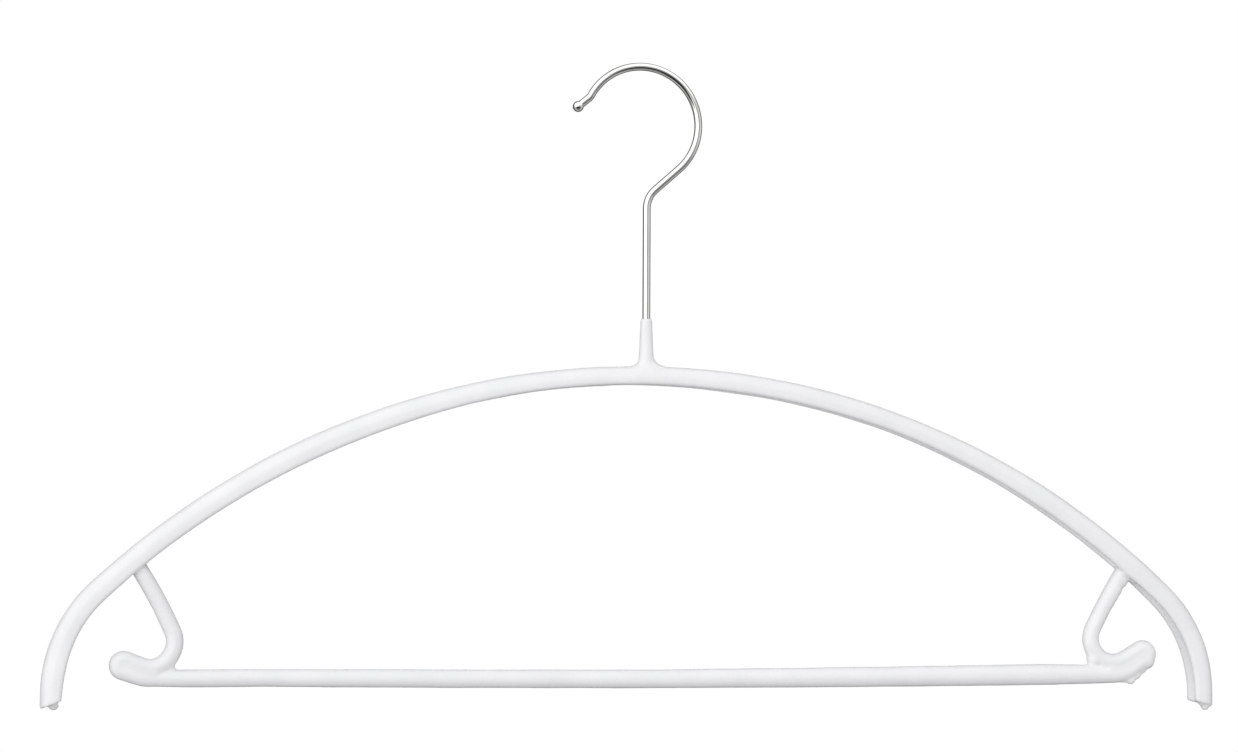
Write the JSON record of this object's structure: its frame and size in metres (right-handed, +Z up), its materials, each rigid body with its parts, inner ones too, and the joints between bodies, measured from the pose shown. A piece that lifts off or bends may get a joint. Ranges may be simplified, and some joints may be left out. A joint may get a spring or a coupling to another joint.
{
  "type": "clothes hanger",
  "caption": "Coated steel clothes hanger with an arched shoulder bar, a trouser bar with a skirt notch and upturned lip at each end, and a swivelling wire hook.",
  "frame": {"origin": "the rail seat: the point on the swivel axis where the inside of the hook rests on the rail", "axes": "+X along the hanger, with the hook's open side towards -X; +Y through its thickness, away from the viewer; +Z up along the swivel axis"},
  "size_m": [0.4206, 0.0092, 0.2297],
  "materials": {
    "hook_chrome": "bright nickel-chrome plated wire, mirror gloss",
    "bare_steel": "mild steel, hidden under the coating",
    "white_pvc": "soft non-slip dip coating, smooth satin gloss with slow ripples and drips"
  },
  "bodies": {
    "hook": {"swivel_hook": "hook_chrome"},
    "frame": {"neck_bush": "bare_steel", "shoulder_arch": "bare_steel", "trouser_bar_wire": "bare_steel", "pvc_coating": "white_pvc"}
  },
  "joints": [
    {"name": "hook_swivel", "type": "hinge", "parent": "hook", "child": "frame", "pos_m": [0, 0, -0.1046], "axis": [0, 0, 1], "continuous": true}
  ]
}
